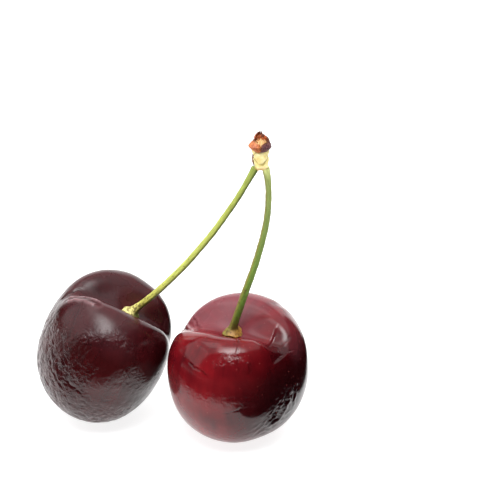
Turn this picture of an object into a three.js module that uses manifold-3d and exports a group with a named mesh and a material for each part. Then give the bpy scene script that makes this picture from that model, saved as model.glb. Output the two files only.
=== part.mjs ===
// A joined pair of dark sweet cherries, standing on a flat surface with their
// stalks up, as picked: two fruits, two stalks and the short bud spur that
// both stalks grow from. Units are millimetres, +Z is up, +X runs from the
// left fruit to the right one, and -Y is the side where the fruits show their
// near cheeks. The origin lies on the surface, under the middle of the pair.

import * as THREE from 'three';
import { mergeVertices } from 'three/addons/utils/BufferGeometryUtils.js';
import Module from 'manifold-3d';

// ---------------------------------------------------------------------------
// Driving dimensions
// ---------------------------------------------------------------------------

// Gap kept between pieces that touch on the real fruit.
const GAP = 0.3;

// How far each fruit settles on the surface: the cut that makes its flat spot.
const SETTLE = 0.4;

// Each fruit, in its own axes: u from cheek to cheek, v from the plain side
// (dorsal) to the side with the suture line, w up the line of the stalk.
const LEFT_FRUIT = {
  place: [-13.5, 4.2],
  spin: 0,
  leanForward: 3.5,
  leanRight: 25,
  cheek: 14.3,
  suture: 12.0,
  dorsal: 12.4,
  top: 14.5,
  bottom: 13.7,
  shoulder: 0.03,
  fullness: 0.15,
  cavity: { depth: 5.0, width: 5.0, towardSuture: 9.5, towardDorsal: 11.3, crease: 0.42 },
  seat: { at: 1.0, depth: 0.7, radius: 2.4 },
};

const RIGHT_FRUIT = {
  place: [12.0, -2.4],
  spin: 27,
  leanForward: 10,
  leanRight: -3,
  cheek: 14.0,
  suture: 13.2,
  dorsal: 12.4,
  top: 14.4,
  bottom: 11.6,
  shoulder: 0.12,
  fullness: 0.15,
  cavity: { depth: 4.5, width: 5.0, towardSuture: 10.5, towardDorsal: 11.3, crease: 0.42 },
  seat: { at: -0.7, depth: 0.5, radius: 2.4 },
};

// The spur that both stalks grow from: a pale collar, a woody tip and the
// papery scales of the bud, stacked up one leaning axis.
const SPUR = {
  base: [16.35, -2.0, 53.2],
  axis: [-0.02, 0, 1],
  collarHeight: 3.6,
  collarRadius: 1.42,
  collarFlatness: 0.82,
  tipRadius: 0.66,
  tipHeight: 3.0,
};

// Each stalk: the way it leaves its fruit, the way it meets the spur, how far
// each of those directions holds, and its radius at both ends.
const LEFT_STALK = {
  leave: [0.77, -0.05, 0.6],
  meet: [0.42, -0.1, 0.9],
  leaveReach: 13,
  meetReach: 12,
  side: -1.0,
  lowerRadius: 0.66,
  upperRadius: 0.52,
};

const RIGHT_STALK = {
  leave: [0.25, 0.1, 0.9],
  meet: [-0.2, -0.1, 1],
  leaveReach: 12,
  meetReach: 12,
  side: 0.85,
  lowerRadius: 0.7,
  upperRadius: 0.52,
};

// The flared foot that joins each stalk to its fruit: a thin saucer whose bowed
// underside follows the floor of the cavity at a clearance.
const FOOT = { radius: 1.85, underside: 1.1, taper: 1.1, clearance: 0.4 };

// Two whorls of bud scales. Flare is how far a scale's tip bends outwards, or
// inwards where it is negative.
const OUTER_WHORL = { count: 3, turn: 262, radius: 1.5, height: 2.0, rise: 3.9, halfAngle: 54, flare: 0.5 };
const INNER_WHORL = { count: 2, turn: 335, radius: 0.98, height: 3.2, rise: 3.9, halfAngle: 76, flare: -0.15 };
const SCALE_THICKNESS = 0.22;

// Mesh fineness.
const FRUIT_SIDES = 44;
const FRUIT_RINGS = 32;
const STALK_SIDES = 10;
const STALK_STEPS = 22;

// ---------------------------------------------------------------------------
// Colours and finishes
// ---------------------------------------------------------------------------

const finish = (color, roughness) => new THREE.MeshStandardMaterial({ color, roughness, metalness: 0 });

const FINISH = {
  leftSkin: finish(0x3c1013, 0.14),
  rightSkin: finish(0x6a161d, 0.14),
  leftStalk: finish(0xacb852, 0.5),
  rightStalk: finish(0x7b8f40, 0.5),
  collar: finish(0xd9c36a, 0.6),
  tip: finish(0x6f3a1c, 0.75),
  scale: finish(0x9a5526, 0.7),
};

// ---------------------------------------------------------------------------
// Shaping helpers
// ---------------------------------------------------------------------------

const radians = THREE.MathUtils.degToRad;

// Moves every corner of a three.js solid by a function and welds its seams.
function reshape(geometry, move) {
  const bare = geometry.index ? geometry : mergeVertices(geometry);
  bare.deleteAttribute('normal');
  bare.deleteAttribute('uv');
  const corners = bare.getAttribute('position');
  const point = new THREE.Vector3();
  for (let i = 0; i < corners.count; i += 1) {
    point.fromBufferAttribute(corners, i);
    const moved = move(point);
    corners.setXYZ(i, moved.x, moved.y, moved.z);
  }
  return mergeVertices(bare, 1e-4);
}

function named(name, geometry, material) {
  geometry.computeVertexNormals();
  const mesh = new THREE.Mesh(geometry, material);
  mesh.name = name;
  return mesh;
}

// ---------------------------------------------------------------------------
// Fruit
// ---------------------------------------------------------------------------

// One point of a cherry in its own axes. tilt is the angle down from the stalk
// and turn the angle round it. Two unequal halves are joined smoothly on each
// axis; then the stalk cavity is pressed in as a trough that runs across the
// top between the cheeks and narrows to a crease at both ends.
function fruitPoint(fruit, tilt, turn) {
  const rise = Math.cos(tilt);
  const spread = Math.sin(tilt);
  const girth = spread * (1 + fruit.fullness * rise * rise) * (1 + fruit.shoulder * rise);
  const sideMean = (fruit.suture + fruit.dorsal) / 2;
  const sideDifference = (fruit.suture - fruit.dorsal) / 2;
  const heightMean = (fruit.top + fruit.bottom) / 2;
  const heightDifference = (fruit.top - fruit.bottom) / 2;
  const u = fruit.cheek * Math.cos(turn) * girth;
  const v = (sideMean + sideDifference * Math.sin(turn)) * Math.sin(turn) * girth;
  const fuller = 1 + (fruit.fullness * spread * spread * (1 + rise)) / 2;
  const w = heightMean * rise * fuller + heightDifference * rise * rise;
  return new THREE.Vector3(u, v, w - cavityDepth(fruit, u, v, rise));
}

// How far the stalk cavity is pressed in at a place on the top of the fruit.
function cavityDepth(fruit, u, v, rise) {
  const { cavity, seat } = fruit;
  const onTop = THREE.MathUtils.smoothstep(rise, -0.15, 0.35);
  const along = v - seat.at;
  const reachMean = (cavity.towardSuture + cavity.towardDorsal) / 2;
  const reachDifference = (cavity.towardSuture - cavity.towardDorsal) / 2;
  const reach = reachMean + (reachDifference * along) / Math.hypot(along, 5);
  const outward = (along / reach) ** 2;
  const width = cavity.width * (cavity.crease + (1 - cavity.crease) * Math.exp(-1.6 * outward));
  const trough = cavity.depth * Math.exp(-((u / width) ** 2) - outward ** 2);
  const dimple = rise > 0 ? seat.depth * Math.exp(-(u * u + along * along) / seat.radius ** 2) : 0;
  return onTop * trough + dimple;
}

// The fruit's own axes in the pair's frame: u starts towards -Y and v towards
// +X, then the fruit is spun about its stalk, tipped forward and tipped right.
function fruitTurn(fruit) {
  const start = new THREE.Matrix4().makeBasis(
    new THREE.Vector3(0, -1, 0),
    new THREE.Vector3(1, 0, 0),
    new THREE.Vector3(0, 0, 1),
  );
  const spin = new THREE.Matrix4().makeRotationZ(radians(-fruit.spin));
  const forward = new THREE.Matrix4().makeRotationX(radians(fruit.leanForward));
  const right = new THREE.Matrix4().makeRotationY(radians(fruit.leanRight));
  return right.multiply(forward).multiply(spin).multiply(start);
}

// The fruit turned and lowered until it presses its flat spot into z = 0.
function standFruit(fruit) {
  const turn = fruitTurn(fruit);
  const ball = new THREE.SphereGeometry(1, FRUIT_SIDES, FRUIT_RINGS);
  const body = reshape(ball, (p) => {
    const tilt = Math.acos(THREE.MathUtils.clamp(p.y, -1, 1));
    return fruitPoint(fruit, tilt, Math.atan2(-p.z, p.x)).applyMatrix4(turn);
  });
  body.computeBoundingBox();
  const centre = new THREE.Vector3(fruit.place[0], fruit.place[1], -body.boundingBox.min.z - SETTLE);
  body.translate(centre.x, centre.y, centre.z);
  const pole = new THREE.Vector3(0, 0, 1).transformDirection(turn);
  const pit = fruitPoint(fruit, 0, 0).z;
  const seat = new THREE.Vector3(0, fruit.seat.at, pit + FOOT.clearance).applyMatrix4(turn).add(centre);
  return { body, pole, seat };
}

const wasm = await Module();
wasm.setup();

function toSolid(geometry) {
  return new wasm.Manifold(new wasm.Mesh({
    numProp: 3,
    vertProperties: Float32Array.from(geometry.getAttribute('position').array),
    triVerts: Uint32Array.from(geometry.index.array),
  }));
}

function fromSolid(solid) {
  const mesh = solid.getMesh();
  const geometry = new THREE.BufferGeometry();
  geometry.setAttribute('position', new THREE.BufferAttribute(mesh.vertProperties, 3));
  geometry.setIndex(new THREE.BufferAttribute(mesh.triVerts, 1));
  return geometry;
}

// Cuts the fruit off level at z = 0, which leaves the flat spot it rests on.
function restFlat(body) {
  const below = new THREE.BoxGeometry(90, 90, 20).translate(0, 0, -10);
  const slab = reshape(below, (p) => p.clone());
  return fromSolid(toSolid(body).subtract(toSolid(slab)));
}

// ---------------------------------------------------------------------------
// Stalks
// ---------------------------------------------------------------------------

// Radius of a stalk at a distance along it: an even taper, a quick flare into
// the foot and a slight swelling where it joins the spur.
function stalkRadius(stalk, distance, length) {
  const even = THREE.MathUtils.lerp(stalk.lowerRadius, stalk.upperRadius, distance / length);
  const flare = (FOOT.radius - stalk.lowerRadius) * Math.exp(-(((distance - FOOT.underside) / FOOT.taper) ** 2));
  const swelling = 0.18 * Math.exp(-(((length - distance) / 3) ** 2));
  return even + flare + swelling;
}

// A stalk turned as a straight spindle, closed at both ends, then bent along
// its curve. The foot stays square to the fruit's own axis and the rest turns
// to follow the curve within a few millimetres. The slanted upper end stops
// half a gap more than others below the collar.
function growStalk(stalk, seat, pole) {
  const spurAxis = new THREE.Vector3(...SPUR.axis).normalize();
  const end = new THREE.Vector3(...SPUR.base).addScaledVector(spurAxis, -1.5 * GAP);
  end.x += stalk.side;
  const leave = new THREE.Vector3(...stalk.leave).normalize().multiplyScalar(stalk.leaveReach);
  const meet = new THREE.Vector3(...stalk.meet).normalize().multiplyScalar(stalk.meetReach);
  const curve = new THREE.CubicBezierCurve3(seat, seat.clone().add(leave), end.clone().sub(meet), end);
  const length = curve.getLength();

  const profile = [new THREE.Vector2(0, 0), new THREE.Vector2(FOOT.radius * 0.5, FOOT.underside * 0.22)];
  for (let i = 0; i <= STALK_STEPS; i += 1) {
    const share = (i / STALK_STEPS) ** 1.5;
    const distance = THREE.MathUtils.lerp(FOOT.underside, length, share);
    profile.push(new THREE.Vector2(stalkRadius(stalk, distance, length), distance));
  }
  profile.push(new THREE.Vector2(0, length));

  const across = new THREE.Vector3(0, 1, 0);
  const spindle = new THREE.LatheGeometry(profile, STALK_SIDES);
  return reshape(spindle, (p) => {
    const along = THREE.MathUtils.clamp(p.y / length, 0, 1);
    const follow = THREE.MathUtils.smoothstep(p.y, FOOT.underside, 4.5);
    const heading = pole.clone().lerp(curve.getTangentAt(along), follow).normalize();
    const side = new THREE.Vector3().crossVectors(across, heading).normalize();
    const front = new THREE.Vector3().crossVectors(heading, side);
    return curve.getPointAt(along).addScaledVector(side, p.x).addScaledVector(front, -p.z);
  });
}

// ---------------------------------------------------------------------------
// Spur: collar, tip and bud scales
// ---------------------------------------------------------------------------

// Stands a piece made about +Y on the spur's leaning axis, at a height above
// the foot of the collar.
function onSpur(point, height) {
  const axis = new THREE.Vector3(...SPUR.axis).normalize();
  const lean = new THREE.Quaternion().setFromUnitVectors(new THREE.Vector3(0, 0, 1), axis);
  return new THREE.Vector3(point.x, -point.z, point.y + height)
    .applyQuaternion(lean)
    .add(new THREE.Vector3(...SPUR.base));
}

// The pale collar: a short oval drum with a waist and a rolled upper edge.
function growCollar() {
  const { collarHeight: height, collarRadius: radius } = SPUR;
  const profile = [new THREE.Vector2(0, 0), new THREE.Vector2(radius * 0.86, 0)];
  const steps = 8;
  for (let i = 0; i <= steps; i += 1) {
    const share = i / steps;
    const waist = 1 - 0.1 * Math.sin(Math.PI * share);
    profile.push(new THREE.Vector2(radius * waist, height * (0.08 + 0.84 * share)));
  }
  profile.push(new THREE.Vector2(radius * 0.86, height), new THREE.Vector2(0, height));
  const drum = new THREE.LatheGeometry(profile, 20);
  return reshape(drum, (p) => onSpur(new THREE.Vector3(p.x, p.y, p.z * SPUR.collarFlatness), 0));
}

// The woody tip inside the scales, with a domed end.
function growTip() {
  const { tipHeight: height, tipRadius: radius } = SPUR;
  const profile = [new THREE.Vector2(0, 0)];
  const steps = 10;
  for (let i = 0; i <= steps; i += 1) {
    const share = i / steps;
    const dome = Math.sqrt(1 - 0.92 * share ** 4);
    profile.push(new THREE.Vector2(radius * dome, height * (0.04 + 0.92 * share)));
  }
  profile.push(new THREE.Vector2(0, height));
  const spindle = new THREE.LatheGeometry(profile, 12);
  return reshape(spindle, (p) => onSpur(p, SPUR.collarHeight + GAP));
}

// One scale of a whorl: a slim block wrapped round the tip, narrowed to a
// blunt point and bent outwards towards its end.
function growScale(whorl, index) {
  const middle = radians(whorl.turn + (360 / whorl.count) * index);
  const block = new THREE.BoxGeometry(2, 1, 1, 8, 8, 1);
  return reshape(block, (p) => {
    const climb = p.y + 0.5;
    const breadth = 0.2 + 0.8 * Math.sqrt(1 - climb ** 3);
    const angle = middle + p.x * radians(whorl.halfAngle) * breadth;
    const radius = whorl.radius + whorl.flare * climb ** 2 + (p.z + 0.5) * SCALE_THICKNESS;
    const foot = new THREE.Vector3(Math.sin(angle) * radius, climb * whorl.height, Math.cos(angle) * radius);
    return onSpur(foot, whorl.rise);
  });
}

// ---------------------------------------------------------------------------
// The pair
// ---------------------------------------------------------------------------

const pair = new THREE.Group();

const left = standFruit(LEFT_FRUIT);
const right = standFruit(RIGHT_FRUIT);
pair.add(named('left_cherry', restFlat(left.body), FINISH.leftSkin));
pair.add(named('right_cherry', restFlat(right.body), FINISH.rightSkin));
pair.add(named('left_stalk', growStalk(LEFT_STALK, left.seat, left.pole), FINISH.leftStalk));
pair.add(named('right_stalk', growStalk(RIGHT_STALK, right.seat, right.pole), FINISH.rightStalk));
pair.add(named('spur_collar', growCollar(), FINISH.collar));
pair.add(named('spur_tip', growTip(), FINISH.tip));

let scaleNumber = 0;
for (const whorl of [OUTER_WHORL, INNER_WHORL]) {
  for (let i = 0; i < whorl.count; i += 1) {
    scaleNumber += 1;
    pair.add(named(`bud_scale_${scaleNumber}`, growScale(whorl, i), FINISH.scale));
  }
}

// The origin goes under the middle of the pair's box.
const extent = new THREE.Box3().setFromObject(pair);
pair.position.set(-(extent.min.x + extent.max.x) / 2, -(extent.min.y + extent.max.y) / 2, 0);

export default pair;
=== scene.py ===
import bpy
import numpy as np
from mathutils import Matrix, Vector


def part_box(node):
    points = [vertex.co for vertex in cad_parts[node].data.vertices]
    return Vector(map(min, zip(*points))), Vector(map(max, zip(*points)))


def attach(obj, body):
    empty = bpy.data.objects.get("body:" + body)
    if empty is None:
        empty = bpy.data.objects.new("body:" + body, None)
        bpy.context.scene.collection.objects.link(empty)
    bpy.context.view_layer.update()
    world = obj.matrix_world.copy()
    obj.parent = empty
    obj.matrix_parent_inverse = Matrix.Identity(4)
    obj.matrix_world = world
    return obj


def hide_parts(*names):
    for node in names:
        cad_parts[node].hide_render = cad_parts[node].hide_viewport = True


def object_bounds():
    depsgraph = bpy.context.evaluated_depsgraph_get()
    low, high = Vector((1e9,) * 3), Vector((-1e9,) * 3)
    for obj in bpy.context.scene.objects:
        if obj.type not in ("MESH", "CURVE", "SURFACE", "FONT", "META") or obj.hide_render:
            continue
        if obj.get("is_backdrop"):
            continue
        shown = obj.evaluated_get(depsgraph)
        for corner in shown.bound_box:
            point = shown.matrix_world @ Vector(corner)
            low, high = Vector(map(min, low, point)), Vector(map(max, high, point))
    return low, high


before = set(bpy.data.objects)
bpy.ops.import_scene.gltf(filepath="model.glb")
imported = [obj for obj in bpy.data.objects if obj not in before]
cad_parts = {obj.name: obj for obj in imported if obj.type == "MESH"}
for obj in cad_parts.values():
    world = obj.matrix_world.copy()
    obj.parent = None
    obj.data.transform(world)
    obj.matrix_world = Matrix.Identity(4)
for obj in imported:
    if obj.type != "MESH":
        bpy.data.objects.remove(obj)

cad_low, cad_high = (np.array(corner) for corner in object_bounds())


# ---------------------------------------------------------------------------
# Studio: a wide table of pale opal acrylic, faintly lit from below, under a large
# softbox that is brightest at its front. White panels stand on the left, behind and
# just under the softbox, and black flags that only glossy surfaces see darken the rest.
# ---------------------------------------------------------------------------

scene = bpy.context.scene
scene.view_settings.view_transform = "Standard"

# The camera looks at a point given as shares of the pair's box.
TARGET_SHARE = np.array([0.789, 0.462, 0.605])
CAMERA_DISTANCE = 0.330
CAMERA_ELEVATION = np.radians(26.0)
target = cad_low + (cad_high - cad_low) * TARGET_SHARE
away = np.array([0.0, -np.cos(CAMERA_ELEVATION), np.sin(CAMERA_ELEVATION)])

camera = bpy.data.objects.new("camera", bpy.data.cameras.new("camera"))
camera.data.lens = 129.5
camera.data.sensor_width = 36.0
camera.data.clip_start = 0.01
camera.location = target + away * CAMERA_DISTANCE
camera.rotation_euler = (np.pi / 2 - CAMERA_ELEVATION, 0.0, 0.0)
scene.collection.objects.link(camera)
scene.camera = camera


def linear(code):
    """An sRGB hex colour as linear red, green, blue and alpha."""
    parts = np.array([int(code[i:i + 2], 16) for i in (1, 3, 5)]) / 255.0
    curved = ((parts + 0.055) / 1.055) ** 2.4
    return (*np.where(parts <= 0.04045, parts / 12.92, curved), 1.0)


def set_inputs(material, node, inputs):
    """Sets a node's inputs by name, each to a value or to a link from a socket."""
    for name, value in inputs.items():
        if isinstance(value, bpy.types.NodeSocket):
            material.node_tree.links.new(value, node.inputs[name])
        else:
            node.inputs[name].default_value = value


def add_node(material, kind, settings=None, inputs=None, shades=()):
    """Adds a node with its settings and inputs, and for a colour ramp its shades, which
    are pairs of a share from 0 to 1 and an sRGB hex colour, in rising order."""
    node = material.node_tree.nodes.new(kind)
    for name, value in (settings or {}).items():
        setattr(node, name, value)
    set_inputs(material, node, inputs or {})
    for i, (share, shade) in enumerate(shades):
        stop = node.color_ramp.elements[i] if i < 2 else node.color_ramp.elements.new(share)
        stop.position, stop.color = share, linear(shade)
    return node


def new_material(name):
    """An empty node material and its Principled shader, joined to the output."""
    material = bpy.data.materials.new(name)
    material.use_nodes = True
    material.node_tree.nodes.clear()
    shader = add_node(material, "ShaderNodeBsdfPrincipled")
    add_node(material, "ShaderNodeOutputMaterial", {}, {"Surface": shader.outputs["BSDF"]})
    return material, shader


def flat_sheet(name, corners, material):
    """A flat sheet with the given corners, which is part of the stage."""
    mesh = bpy.data.meshes.new(name)
    mesh.from_pydata(corners, [], [range(len(corners))])
    mesh.materials.append(material)
    sheet = bpy.data.objects.new(name, mesh)
    scene.collection.objects.link(sheet)
    sheet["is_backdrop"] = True
    return sheet


def softbox(name, place, aim, size, radiance):
    """An area light at a place, facing an aim point; its power gives the radiance."""
    light = bpy.data.lights.new(name, "AREA")
    light.shape = "RECTANGLE"
    light.size, light.size_y = size
    light.energy = radiance * np.pi * size[0] * size[1]
    lamp = bpy.data.objects.new(name, light)
    facing = np.array(aim, float) - np.array(place, float)
    heading = facing / np.linalg.norm(facing)
    lamp.location = place
    lamp.rotation_euler = (np.arccos(-heading[2]), 0.0, np.arctan2(heading[0], -heading[1]) + np.pi)
    scene.collection.objects.link(lamp)
    return lamp


# Opal acrylic: a matt, even white that glows a little, so contact shadows stay faint.
TABLE_HALF = 1.5
acrylic, acrylic_shader = new_material("opal_acrylic")
set_inputs(acrylic, acrylic_shader, {
    "Base Color": linear("#b4b4b4"), "Roughness": 0.9, "Specular IOR Level": 0.1,
    "Emission Color": linear("#ffffff"), "Emission Strength": 0.85,
})
table_outline = [(-1, -1), (1, -1), (1, 1), (-1, 1)]
flat_sheet("table_top", [(x * TABLE_HALF, y * TABLE_HALF, 0) for x, y in table_outline], acrylic)

# Black flock: takes all light, so a reflection of it is dark. The front flag lies just
# above the table. Its far edge runs under the fronts of the fruits, so that their lower
# halves mirror only the strip of table next to them. The right flag stands upright.
FLAG_HEIGHT = 0.001
flock, flock_shader = new_material("black_flock")
set_inputs(flock, flock_shader, {
    "Base Color": linear("#000000"), "Roughness": 1.0, "Specular IOR Level": 0.0,
})
front_edge = [
    (-0.5, 0.015), (-0.075, 0.015), (-0.05, -0.012), (-0.03, -0.025), (-0.012, -0.030), (-0.004, -0.036),
    (0.003, -0.038), (0.008, -0.035), (0.012, -0.028), (0.017, -0.022), (0.024, -0.018), (0.031, -0.013),
    (0.036, -0.001), (0.038, 0.045), (0.5, 0.045),
]
front_outline = [(-0.5, -1.2), (0.5, -1.2), *front_edge[::-1]]
right_outline = [(-0.09, FLAG_HEIGHT), (0.05, FLAG_HEIGHT), (0.05, 0.05), (-0.09, 0.05)]
flags = [
    flat_sheet("front_flag", [(x, y, FLAG_HEIGHT) for x, y in front_outline], flock),
    flat_sheet("right_flag", [(0.050, y, z) for y, z in right_outline], flock),
]
for flag in flags:
    flag.visible_camera = False
    flag.visible_diffuse = False
    flag.visible_shadow = False
    flag.visible_transmission = False

# Softbox cloth: white nylon with the lamp behind its front half, so it glows brightest
# there and evenly elsewhere. Its front right corner is cut off, which keeps the right
# sides of the fruits dark.
SOFTBOX_HEIGHT = 0.40
nylon, nylon_shader = new_material("softbox_nylon")
nylon.node_tree.nodes.remove(nylon_shader)
nylon_place = add_node(nylon, "ShaderNodeTexCoord")
nylon_lamp = add_node(nylon, "ShaderNodeMapping", {"vector_type": "TEXTURE"}, {
    "Vector": nylon_place.outputs["Object"],
    "Location": (-0.02, -0.29, SOFTBOX_HEIGHT), "Scale": (0.21, 0.32, 1.0),
})
nylon_reach = add_node(nylon, "ShaderNodeVectorMath", {"operation": "LENGTH"}, {
    0: nylon_lamp.outputs["Vector"],
})
nylon_glow = add_node(nylon, "ShaderNodeMapRange", {"interpolation_type": "SMOOTHSTEP"}, {
    "Value": nylon_reach.outputs["Value"], "From Min": 0.15, "From Max": 1.0,
    "To Min": 12.0, "To Max": 0.75,
})
nylon_light = add_node(nylon, "ShaderNodeEmission", {}, {"Strength": nylon_glow.outputs["Result"]})
nylon_end = next(node for node in nylon.node_tree.nodes if node.bl_idname == "ShaderNodeOutputMaterial")
set_inputs(nylon, nylon_end, {"Surface": nylon_light.outputs["Emission"]})
softbox_outline = [(-0.4, -0.25), (-0.4, 0.38), (0.4, 0.38), (0.4, 0.05), (0.14, -0.25)]
overhead = flat_sheet("overhead_softbox", [(x, y, SOFTBOX_HEIGHT) for x, y in softbox_outline], nylon)
overhead.visible_camera = False

softbox("left_panel", (-0.43, 0.0, 0.32), (0.0, 0.0, 0.02), (0.55, 0.50), 1.0)
softbox("back_panel", (0.0, 0.62, 0.22), (0.0, 0.0, 0.05), (1.1, 0.44), 1.2)
softbox("left_overhead", (-0.16, 0.04, 0.395), (-0.16, 0.04, 0.0), (0.17, 0.22), 1.2)
fill = softbox("overhead_fill", (0.0, 0.05, 0.38), (0.0, 0.05, 0.0), (0.7, 0.6), 1.8)
fill.visible_glossy = False

world = bpy.data.worlds.new("dim_room")
world.use_nodes = True
world.node_tree.nodes["Background"].inputs["Color"].default_value = (0.035, 0.035, 0.036, 1.0)
scene.world = world


# ---------------------------------------------------------------------------
# Fruits: two ripe sweet cherries with taut, waxy skins, each grown in one
# piece. The stalk sits in a trough between two cheeks, and the skins carry the
# creases, dents and fine wrinkles of fruit that was picked a few days ago.
# ---------------------------------------------------------------------------

# How deep a fruit settles on its resting spot, in mm, and the grid of its skin.
SETTLE = 0.4
RINGS = 270
COLUMNS = 350

# Last in each: how far the painted shade on the suture side is turned round, in radians, and the u, in mm,
# beyond which the bloom and its painted sheen end.
LEFT_FRUIT = {
    "node": "left_cherry",
    "spin": 0.0, "forward": 3.5, "right": 25.0,
    "cheek": 14.3, "suture": 12.0, "dorsal": 12.4, "top": 14.5, "bottom": 13.7,
    "shoulder": 0.03, "fullness": 0.15,
    "depth": 5.0, "width": 5.0, "toward_suture": 9.5, "toward_dorsal": 11.3, "crease": 0.42,
    "seat": 1.0, "seat_depth": 0.7, "seat_radius": 2.4, "riper": 0.0, "bloom_edge": 20.0,
}
RIGHT_FRUIT = {
    "node": "right_cherry",
    "spin": 27.0, "forward": 10.0, "right": -3.0,
    "cheek": 14.0, "suture": 13.2, "dorsal": 12.4, "top": 14.4, "bottom": 11.6,
    "shoulder": 0.12, "fullness": 0.15,
    "depth": 4.5, "width": 5.0, "toward_suture": 10.5, "toward_dorsal": 11.3, "crease": 0.42,
    "seat": -0.7, "seat_depth": 0.5, "seat_radius": 2.4, "riper": -0.2, "bloom_edge": 1.5,
}


def smooth_step(value, start, end):
    """0 before start, 1 after end, with a smooth cubic between."""
    share = np.clip((value - start) / (end - start), 0.0, 1.0)
    return share * share * (3.0 - 2.0 * share)


def fruit_surface(fruit, tilt, turn):
    """Points of the plain fruit in its own axes: u across the cheeks, v towards the suture, w up.

    The girth is the sine of the tilt, fuller towards both ends and at the shoulder.
    Each axis joins two unequal halves smoothly. The height then drops by a
    trough, a bell curve across u whose width narrows as it runs out along v,
    and by a small round dimple where the stalk sits."""
    rise, spread = np.cos(tilt), np.sin(tilt)
    girth = spread * (1 + fruit["fullness"] * rise ** 2) * (1 + fruit["shoulder"] * rise)
    side = (fruit["suture"] + fruit["dorsal"]) / 2 + (fruit["suture"] - fruit["dorsal"]) / 2 * np.sin(turn)
    u = fruit["cheek"] * np.cos(turn) * girth
    v = side * np.sin(turn) * girth
    height, difference = (fruit["top"] + fruit["bottom"]) / 2, (fruit["top"] - fruit["bottom"]) / 2
    fuller = 1 + fruit["fullness"] * spread ** 2 * (1 + rise) / 2
    w = height * rise * fuller + difference * rise ** 2
    along = v - fruit["seat"]
    mean = (fruit["toward_suture"] + fruit["toward_dorsal"]) / 2
    half = (fruit["toward_suture"] - fruit["toward_dorsal"]) / 2
    outward = (along / (mean + half * along / np.hypot(along, 5.0))) ** 2
    width = fruit["width"] * (fruit["crease"] + (1 - fruit["crease"]) * np.exp(-1.6 * outward))
    trough = fruit["depth"] * np.exp(-((u / width) ** 2) - outward ** 2)
    dimple = fruit["seat_depth"] * np.exp(-(u ** 2 + along ** 2) / fruit["seat_radius"] ** 2)
    w = w - smooth_step(rise, -0.15, 0.35) * trough - (rise > 0) * dimple
    return np.stack([u, v, w], -1)


def turned(axis, degrees):
    """Rotation matrix about x, y or z."""
    c, s = np.cos(np.radians(degrees)), np.sin(np.radians(degrees))
    first, second = {"x": (1, 2), "y": (2, 0), "z": (0, 1)}[axis]
    matrix = np.eye(3)
    matrix[first, first] = matrix[second, second] = c
    matrix[first, second], matrix[second, first] = -s, s
    return matrix


def node_box(node):
    """The lowest and highest corners of a CAD node, in millimetres."""
    return [np.array(corner) * 1000 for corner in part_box(node)]


def fruit_stance(fruit):
    """The fruit's axes in the pair's frame, as a matrix, and the place of its middle."""
    start = np.array([[0.0, -1.0, 0.0], [1.0, 0.0, 0.0], [0.0, 0.0, 1.0]]).T
    axes = turned("y", fruit["right"]) @ turned("x", fruit["forward"]) @ turned("z", -fruit["spin"]) @ start
    tilt = np.linspace(0, np.pi, 181)[:, None]
    turn = np.linspace(0, 2 * np.pi, 361)[None, :]
    shape = fruit_surface(fruit, tilt, turn) @ axes.T
    low, high = node_box(fruit["node"])
    middle = (low + high) / 2 - (shape.min((0, 1)) + shape.max((0, 1))) / 2
    middle[2] = -shape[..., 2].min() - SETTLE
    return axes, middle


def ripple(points, wavelength, seed, waves=9):
    """A sum of plane sine waves in seeded directions, about one wavelength apart."""
    rng = np.random.default_rng(seed)
    total = 0.0
    for _ in range(waves):
        heading = rng.normal(size=3)
        heading *= 2 * np.pi / (np.linalg.norm(heading) * wavelength * rng.uniform(0.75, 1.3))
        total = total + np.sin(points @ heading + rng.uniform(0, 2 * np.pi))
    return total / np.sqrt(waves)


def line_distance(points, line):
    """Distance from each point to a polyline, and how far along it that is, 0 to 1."""
    nearest = np.full(points.shape[:-1], np.inf)
    share = np.zeros(points.shape[:-1])
    for i in range(len(line) - 1):
        step = line[i + 1] - line[i]
        t = np.clip((points - line[i]) @ step / (step @ step), 0.0, 1.0)
        gap = np.linalg.norm(points - line[i] - t[..., None] * step, axis=-1)
        closer = gap < nearest
        nearest = np.where(closer, gap, nearest)
        share = np.where(closer, (i + t) / (len(line) - 1), share)
    return nearest, share


def skin_line(fruit, places, sway=0.0, seed=0):
    """A line on the skin through a few (tilt, turn) places in degrees, with a slight sway."""
    knots = np.radians(np.array(places, float))
    share = np.linspace(0, len(knots) - 1, 12 * (len(knots) - 1) + 1)
    tilt = np.interp(share, np.arange(len(knots)), knots[:, 0])
    turn = np.interp(share, np.arange(len(knots)), knots[:, 1])
    rng = np.random.default_rng(seed)
    tilt = tilt + sway * np.sin(share * 5.3 + rng.uniform(0, 6)) * np.sin(share * 13.1)
    turn = turn + sway * np.cos(share * 7.7 + rng.uniform(0, 6))
    return fruit_surface(fruit, tilt, turn)


def groove(fruit, points, places, width, depth, lip, seed):
    """A crease along a skin line: a bell-shaped groove with raised lips, fading at both ends.

    Returns its height and how strongly each point belongs to it."""
    gap, share = line_distance(points, skin_line(fruit, places, 0.01, seed))
    fade = smooth_step(share, 0.0, 0.15) * smooth_step(1 - share, 0.0, 0.15)
    fade = np.maximum(fade, 0.15) * (0.8 + 0.2 * ripple(points, max(1.6, 9 * width), seed + 50))
    core = np.exp(-((gap / width) ** 2))
    lips = np.exp(-(((gap - 1.9 * width) / (0.9 * width)) ** 2))
    return fade * (lip * lips - depth * core), fade * core


def patch(fruit, points, places, radius):
    """How strongly each point lies in a zone round a skin line, 1 inside to 0 outside."""
    gap, _ = line_distance(points, skin_line(fruit, places))
    return np.exp(-((gap / radius) ** 2))


def pressed_marks(fruit, points, marks):
    """The heights of several creases added up, and the strongest painted shade among them, darker in deeper
    creases.

    A mark is a skin line's places, and the width, depth and lip of its groove in mm."""
    height = np.zeros(points.shape[:-1])
    dark = np.zeros(points.shape[:-1])
    for seed, (places, width, depth, lip) in enumerate(marks):
        rise, core = groove(fruit, points, places, width, depth, lip, seed)
        height = height + rise
        # Painted shade in the core of each crease.
        dark = np.maximum(dark, core * min(1.0, 12 * (depth - lip)))
    return height, np.clip(dark, 0, 1)


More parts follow.
